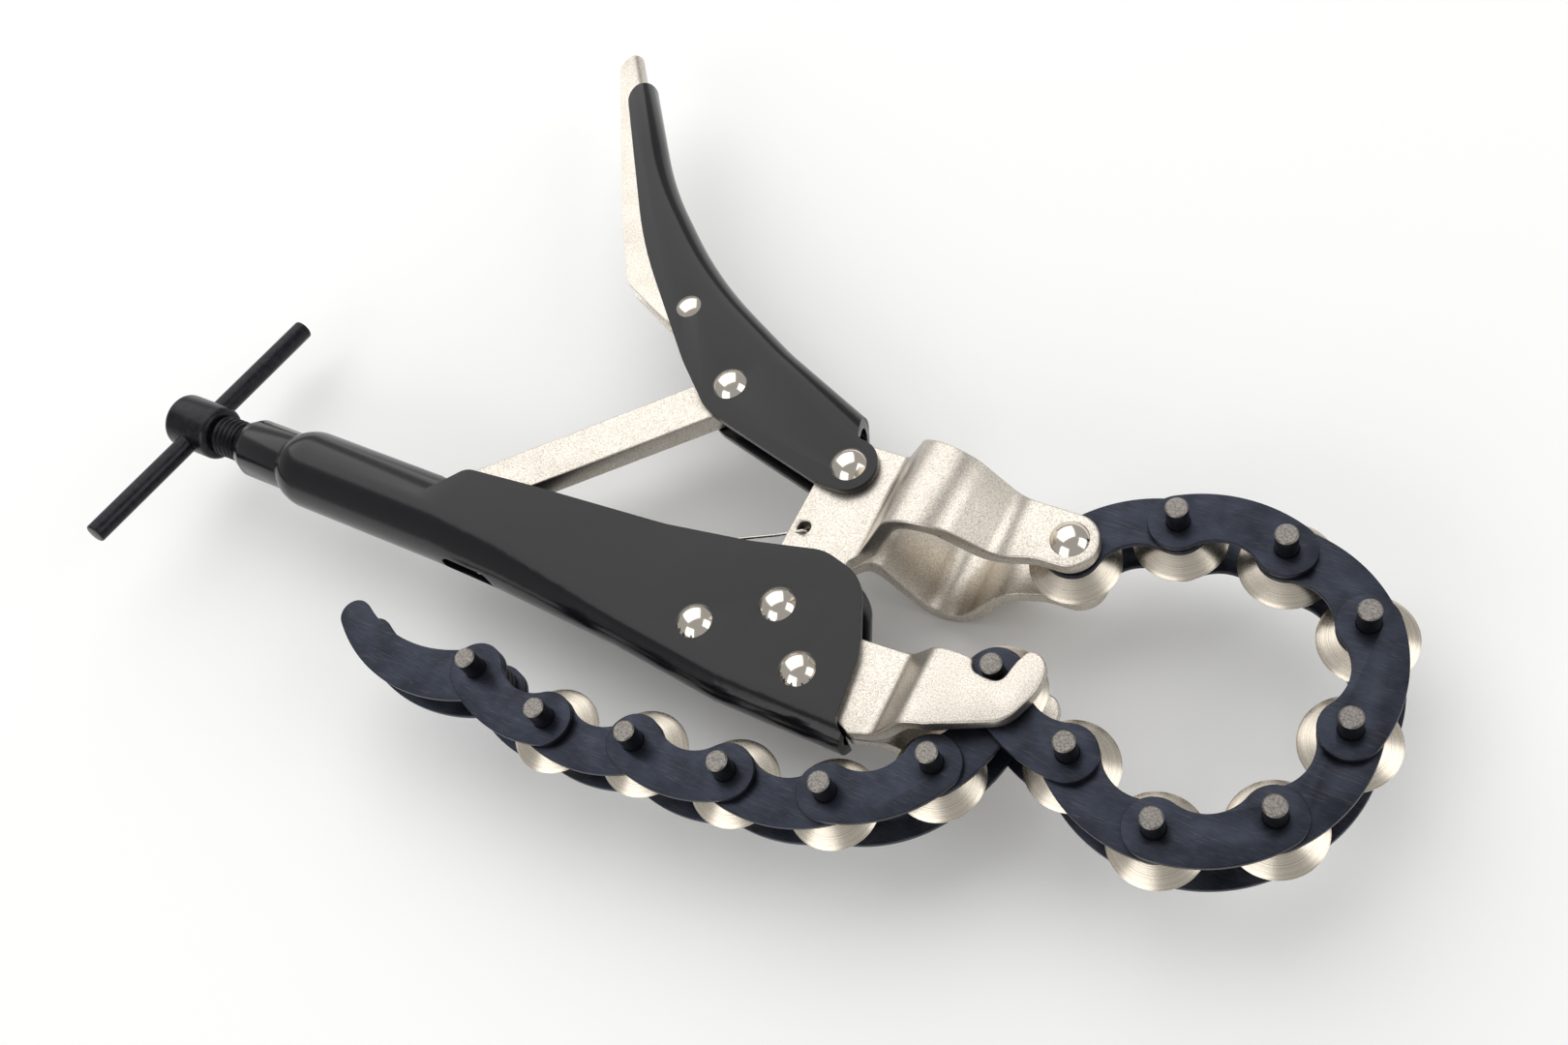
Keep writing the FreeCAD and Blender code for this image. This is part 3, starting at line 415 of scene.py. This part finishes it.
def ground_steel(base):
    """Hardened pin ends ground flat: mid grey with a fine rough grain."""
    material, tree, surface = finish("ground_hardened_steel")
    where = add(tree, "TexCoord").outputs["Object"]
    grain = add(tree, "TexNoise", {"Vector": where, "Scale": per_mm(0.45), "Detail": 3.0})
    tint = add(tree, "ValToRGB", {"Fac": grain.outputs["Fac"]},
               stops=[(0.32, shade_of(base, 0.45)), (0.66, base)])
    tree.links.new(tint.outputs["Color"], surface.inputs["Base Color"])
    worn = add(tree, "Bump", {"Height": grain.outputs["Fac"], "Strength": 0.3,
                              "Distance": 0.08 * MM})
    tree.links.new(worn.outputs["Normal"], surface.inputs["Normal"])
    surface.inputs["Metallic"].default_value = 0.85
    surface.inputs["Roughness"].default_value = 0.42
    return material


def plain_metal(name, base, metallic, rough):
    """An even finish with a slight mottle of 1 mm in its gloss."""
    material, tree, surface = finish(name)
    where = add(tree, "TexCoord").outputs["Object"]
    mottle = add(tree, "TexNoise", {"Vector": where, "Scale": per_mm(1.0), "Detail": 2.0})
    spread = add(tree, "MapRange", {"Value": mottle.outputs["Fac"], "To Min": rough - 0.06,
                                    "To Max": rough + 0.06})
    tree.links.new(spread.outputs["Result"], surface.inputs["Roughness"])
    surface.inputs["Base Color"].default_value = (*base, 1)
    surface.inputs["Metallic"].default_value = metallic
    return material


FINISH = {}


def mix_finishes(colours):
    """Makes each finish once."""
    FINISH.update(
        enamel=black_enamel(tuple(colours.enamel)),
        oxide=black_oxide(tuple(colours.oxide)),
        nickel=satin_nickel(tuple(colours.nickel)),
        rivet=bright_nickel(tuple(colours.rivet)),
        blued=blued_plate(tuple(colours.blued)),
        wheel=turned_nickel(tuple(colours.wheel)),
        pin_end=ground_steel(tuple(colours.pin)),
        pin_side=plain_metal("hardened_pin_steel", srgb("3A3A3F"), 0.9, 0.30),
        washer=plain_metal("black_oxide_washers", srgb("141417"), 0.4, 0.42),
        wire=plain_metal("zinc_plated_spring_wire", srgb("C9C5BC"), 1.0, 0.28))


# ------------------------------------------------------------------ the pieces

class CutterOperator:
    """What every piece's operator shares."""
    bl_options = {"REGISTER", "UNDO"}

    def execute(self, context):
        self.build(context.scene.cutter_sizes)
        return {"FINISHED"}


class CUTTER_OT_finishes(bpy.types.Operator):
    """Mixes the enamel, plating and steel finishes"""
    bl_idname = "cutter.finishes"
    bl_label = "Finishes"

    def execute(self, context):
        mix_finishes(context.scene.cutter_colours)
        return {"FINISHED"}


class CUTTER_OT_handle(CutterOperator, bpy.types.Operator):
    """Folded and swaged fixed handle"""
    bl_idname = "cutter.handle"
    bl_label = "Fixed handle"

    def build(self, sizes):
        worked_copy("fixed_handle", sizes.fold_edge, FINISH["enamel"], clamp=True)


class CUTTER_OT_lever(CutterOperator, bpy.types.Operator):
    """Folded lever with its release lever and toggle link"""
    bl_idname = "cutter.lever"
    bl_label = "Lever, link and release"

    def build(self, sizes):
        worked_copy("lever", sizes.fold_edge, FINISH["enamel"], clamp=True)
        worked_copy("toggle_link", sizes.jaw_edge, FINISH["nickel"])
        worked_copy("release_lever", sizes.jaw_edge * 0.6, FINISH["nickel"],
                    clamp=True)


class CUTTER_OT_jaws(CutterOperator, bpy.types.Operator):
    """Moving jaw's two humped plates and fixed jaw's two hook plates"""
    bl_idname = "cutter.jaws"
    bl_label = "Jaws"

    def build(self, sizes):
        for side in ("upper", "lower"):
            for jaw in ("moving_jaw_", "fixed_jaw_"):
                worked_copy(jaw + side, sizes.jaw_edge, FINISH["nickel"])


class CUTTER_OT_rivets(CutterOperator, bpy.types.Operator):
    """Domed rivets"""
    bl_idname = "cutter.rivets"
    bl_label = "Rivets"

    def build(self, sizes):
        for node in ("handle_rivets", "lever_rivets", "release_rivet", "chain_anchor_rivet"):
            worked_copy(node, 0.0, FINISH["rivet"])


class CUTTER_OT_screw(CutterOperator, bpy.types.Operator):
    """Adjusting screw with its thread, head and cross bar"""
    bl_idname = "cutter.screw"
    bl_label = "Screw and cross bar"

    def build(self, sizes):
        low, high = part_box("adjusting_screw")
        centre = (low + high) / 2
        head, edge = (high.y - low.y) / 2, sizes.head_edge
        front = low.x + sizes.head_length
        core = sizes.shank - sizes.thread_depth
        profile = [(low.x, 0.0)]
        profile += bend(low.x + edge, head - edge, edge, 180, 90)
        profile += bend(front - edge, head - edge, edge, 90, 0)
        profile += [(front, core), (high.x - 1.0 * MM, core), (high.x, core - 0.8 * MM),
                    (high.x, 0.0)]
        piece = turned(profile, "X", Vector((0, centre.y, centre.z)), steps=64)
        settle(piece, "adjusting_screw_turned", "adjusting_screw", FINISH["oxide"])
        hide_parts("adjusting_screw")
        self.thread(sizes, front + 0.4 * MM, high.x - 1.5 * MM, core, sizes.shank, centre)
        self.cross_bar(sizes)

    def thread(self, sizes, start, end, core, crest, centre):
        """A closed ridge wound round the core."""
        pitch = sizes.thread_pitch
        foot, top = pitch * 0.92, pitch * 0.18
        ridge = [(start, core - 0.2 * MM), (start + foot, core - 0.2 * MM),
                 (start + foot, core), (start + (foot + top) / 2, crest),
                 (start + (foot - top) / 2, crest), (start, core)]
        choose()
        bpy.ops.mesh.primitive_circle_add(vertices=len(ridge), radius=1.0, fill_type="NGON",
                                          location=(0, 0, 0))
        piece = bpy.context.object
        for vertex, (along, radius) in zip(piece.data.vertices, ridge):
            vertex.co = (along, radius, 0)
        turns = int((end - start - foot) / pitch)
        bpy.ops.object.mode_set(mode="EDIT")
        bpy.ops.mesh.select_all(action="SELECT")
        bpy.ops.mesh.delete(type="ONLY_FACE")
        bpy.ops.object.mode_set(mode="OBJECT")
        apply_modifier(piece, "SCREW", axis="X", angle=math.tau, screw_offset=pitch,
                       iterations=turns, steps=40, render_steps=40, use_normal_calculate=True)
        bpy.ops.object.mode_set(mode="EDIT")
        bpy.ops.mesh.select_mode(type="EDGE")
        bpy.ops.mesh.select_all(action="DESELECT")
        bpy.ops.mesh.select_non_manifold()
        bpy.ops.mesh.fill()
        bpy.ops.mesh.select_all(action="SELECT")
        bpy.ops.mesh.normals_make_consistent(inside=False)
        bpy.ops.object.mode_set(mode="OBJECT")
        bpy.ops.object.shade_smooth_by_angle(angle=math.radians(30))
        piece.location = (0, centre.y, centre.z)
        settle(piece, "adjusting_screw_thread", "adjusting_screw", FINISH["oxide"])

    def cross_bar(self, sizes):
        """Plain round bar with broken ends, through the head."""
        low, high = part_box("t_bar")
        along = Vector((0, -math.cos(sizes.bar_lean), math.sin(sizes.bar_lean)))
        choose()
        bpy.ops.mesh.primitive_cylinder_add(vertices=48, radius=sizes.bar_radius,
                                            depth=sizes.bar_length,
                                            location=(low + high) / 2)
        bar = bpy.context.object
        bar.rotation_euler = along.to_track_quat("Z", "Y").to_euler()
        bpy.ops.object.transform_apply(location=True, rotation=True, scale=True)
        apply_modifier(bar, "BEVEL", width=0.5 * MM, segments=3, limit_method="ANGLE",
                       angle_limit=math.radians(40))
        bpy.ops.object.shade_smooth_by_angle(angle=math.radians(35))
        settle(bar, "cross_bar", "adjusting_screw", FINISH["oxide"])
        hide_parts("t_bar")


class CUTTER_OT_spring(CutterOperator, bpy.types.Operator):
    """Return spring wound from one wire, with a hook at each end"""
    bl_idname = "cutter.spring"
    bl_label = "Return spring"

    def build(self, sizes):
        low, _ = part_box("jaw_spring")
        pivot = JOINT["jaw_pivot"]
        # the wire leaves the jaw's hole and ends in the handle's window
        hook = Vector((pivot.x - 4.8 * MM, pivot.y + 22.2 * MM, MID_Z))
        foot = Vector((low.x + 0.2 * MM, low.y + 1.0 * MM, MID_Z))
        along = (foot - hook).normalized()
        side = Vector((0, 0, 1))
        across = side.cross(along)
        first, last = 28.0 * MM, 71.0 * MM
        coil, pitch = sizes.spring_coil, sizes.spring_pitch
        points = []
        # hook through the two plates
        for i in range(11):
            turn = math.radians(-150 + 24 * i)
            points.append(hook + along * (1.2 * MM * (1 - math.cos(turn)) - 1.0 * MM)
                          + side * (5.2 * MM * math.sin(turn) * 0.9) + across * (0.15 * MM * i))
        points.append(hook + along * 8.0 * MM + side * 1.0 * MM)
        points.append(hook + along * (first - 1.0 * MM) + side * coil * 0.3)
        turns = int((last - first) / pitch)
        for i in range(turns * 14 + 1):
            angle = math.tau * i / 14
            points.append(hook + along * (first + pitch * i / 14)
                          + side * coil * math.cos(angle) + across * coil * math.sin(angle))
        reach = (foot - hook).length
        points.append(hook + along * (last + 2.0 * MM) + side * coil * 0.2)
        points.append(hook + along * (reach - 4.0 * MM))
        for i in range(8):
            turn = math.radians(30 * i)
            points.append(hook + along * (reach - 1.5 * MM + 1.5 * MM * math.sin(turn))
                          + across * (1.5 * MM * (1 - math.cos(turn))))
        choose()
        bpy.ops.curve.primitive_nurbs_path_add(location=(0, 0, 0))
        wire = bpy.context.object
        wire.data.splines.clear()
        spline = wire.data.splines.new("POLY")
        spline.points.add(len(points) - 1)
        for point, place in zip(spline.points, points):
            point.co = (*place, 1)
        wire.data.bevel_depth = sizes.spring_wire
        wire.data.bevel_resolution = 2
        wire.data.use_fill_caps = True
        bpy.ops.object.convert(target="MESH")
        bpy.ops.object.shade_smooth()
        wire = bpy.context.object
        settle(wire, "return_spring", None, FINISH["wire"])
        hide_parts("jaw_spring")
        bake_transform(wire)


class CUTTER_OT_plates(CutterOperator, bpy.types.Operator):
    """Crescent plates of the chain"""
    bl_idname = "cutter.plates"
    bl_label = "Chain plates"

    def build(self, sizes):
        for node in sorted(frame["nodes"]):
            if node.startswith(("inner_plates_", "outer_plates_")):
                worked_copy(node, sizes.plate_edge, FINISH["blued"])


class CUTTER_OT_pins(CutterOperator, bpy.types.Operator):
    """Chain pins with ground ends"""
    bl_idname = "cutter.pins"
    bl_label = "Chain pins"

    def build(self, sizes):
        for node in sorted(frame["nodes"]):
            if not node.startswith("pins_"):
                continue
            piece = worked_copy(node, 0.0,
                                [FINISH["pin_side"], FINISH["pin_end"]])
            for face in piece.data.polygons:
                face.material_index = 1 if abs(face.normal.z) > 0.55 else 0


class CUTTER_OT_washers(CutterOperator, bpy.types.Operator):
    """Washers between the plates and wheels"""
    bl_idname = "cutter.washers"
    bl_label = "Washers"

    def build(self, sizes):
        for node in sorted(frame["nodes"]):
            if "washers" in node:
                worked_copy(node, 0.08 * MM, FINISH["washer"])


class CUTTER_OT_wheels(CutterOperator, bpy.types.Operator):
    """Double-cone cutter wheels, one turned and the rest copied from it"""
    bl_idname = "cutter.wheels"
    bl_label = "Cutter wheels"

    def build(self, sizes):
        low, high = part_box("wheel_00")
        rim, half = (high.x - low.x) / 2, (high.z - low.z) / 2
        bore, hub, thin = sizes.wheel_bore, sizes.wheel_hub, sizes.wheel_rim
        upper = [(half, bore), (half, hub - 0.2 * MM), (half - 0.2 * MM, hub),
                 (half - 0.55 * MM, hub + 0.1 * MM), (half - 0.75 * MM, hub + 0.5 * MM),
                 (thin + 0.55 * MM, rim - 1.1 * MM), (thin, rim - 0.25 * MM),
                 (0.12 * MM, rim)]
        profile = upper + [(-along, radius) for along, radius in reversed(upper)]
        wheel = turned(profile, "Z", Vector((0, 0, 0)), steps=80)
        marks = wheel.data.attributes.new("turning_mm", "FLOAT", "POINT")
        marks.data.foreach_set("value", [v.co.xy.length / MM for v in wheel.data.vertices])
        for number in range(14):
            node = "wheel_%02d" % number
            low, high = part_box(node)
            choose(wheel)
            bpy.ops.object.duplicate()
            copy = bpy.context.object
            copy.location = (low + high) / 2
            copy.rotation_euler = (0, 0, 0.7 * number)
            settle(copy, "cutter_wheel_%02d" % number, BODY_OF[node],
                   FINISH["wheel"])
            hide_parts(node)
        bpy.data.objects.remove(wheel)


class CUTTER_OT_stage(bpy.types.Operator):
    """Pale floor, soft lights and the camera"""
    bl_idname = "cutter.stage"
    bl_label = "Stage"

    def execute(self, context):
        choose()
        bpy.ops.mesh.primitive_plane_add(size=6.0, location=(0, 0, -0.2 * MM))
        floor = bpy.context.object
        floor.name = "floor"
        material, _, surface = finish("matt_white_paper")
        surface.inputs["Base Color"].default_value = (*context.scene.cutter_colours.floor, 1)
        surface.inputs["Roughness"].default_value = 0.85
        surface.inputs["Specular IOR Level"].default_value = 0.2
        floor.data.materials.append(material)
        lights = (("overhead_softbox", (-0.55, 0.48, 0.95), 1.7, 12.0),
                  ("right_softbox", (0.95, 0.25, 0.55), 0.7, 2.6),
                  ("front_fill", (-0.1, -1.1, 0.6), 0.9, 4.5))
        for name, place, size, power in lights:
            bpy.ops.object.light_add(type="AREA", location=place)
            lamp = bpy.context.object
            lamp.name = name
            lamp.data.size = size
            lamp.data.energy = power
            lamp.rotation_euler = (-Vector(place)).to_track_quat("-Z", "Y").to_euler()
        world = bpy.data.worlds.new("studio")
        context.scene.world = world
        world.use_nodes = True
        background = world.node_tree.nodes["Background"]
        background.inputs["Color"].default_value = (1, 1, 1, 1)
        background.inputs["Strength"].default_value = 0.44
        bpy.ops.object.camera_add(location=(0.20246, -0.1603, 0.3785),
                                  rotation=[math.radians(a) for a in (29.5772, 15.4387, 28.2714)])
        camera = bpy.context.object
        camera.name = "camera"
        camera.data.lens = 37.84
        camera.data.sensor_width = 36.0
        camera.data.clip_start = 0.01
        context.scene.camera = camera
        context.scene.view_settings.view_transform = "Standard"
        return {"FINISHED"}


OPERATORS = (CUTTER_OT_finishes, CUTTER_OT_handle, CUTTER_OT_lever, CUTTER_OT_jaws,
             CUTTER_OT_rivets, CUTTER_OT_screw, CUTTER_OT_spring, CUTTER_OT_plates,
             CUTTER_OT_pins, CUTTER_OT_washers, CUTTER_OT_wheels, CUTTER_OT_stage)


class CUTTER_PT_panel(bpy.types.Panel):
    """Lists the cutter's pieces and settings"""
    bl_label = "Chain Pipe Cutter"
    bl_idname = "CUTTER_PT_panel"
    bl_space_type = "VIEW_3D"
    bl_region_type = "UI"
    bl_category = "Cutter"

    def draw(self, context):
        for kind in OPERATORS:
            self.layout.operator(kind.bl_idname)
        for group in (context.scene.cutter_sizes, context.scene.cutter_colours):
            box = self.layout.box()
            for name in group.__annotations__:
                box.prop(group, name)


CLASSES = (CutterSizes, CutterColours) + OPERATORS + (CUTTER_PT_panel,)


def register():
    for kind in CLASSES:
        bpy.utils.register_class(kind)
    bpy.types.Scene.cutter_sizes = bpy.props.PointerProperty(type=CutterSizes)
    bpy.types.Scene.cutter_colours = bpy.props.PointerProperty(type=CutterColours)


def unregister():
    del bpy.types.Scene.cutter_colours
    del bpy.types.Scene.cutter_sizes
    for kind in reversed(CLASSES):
        bpy.utils.unregister_class(kind)


def main():
    """Builds every piece in order."""
    register()
    for kind in OPERATORS:
        group, name = kind.bl_idname.split(".")
        getattr(getattr(bpy.ops, group), name)()


if __name__ == "__main__":
    main()
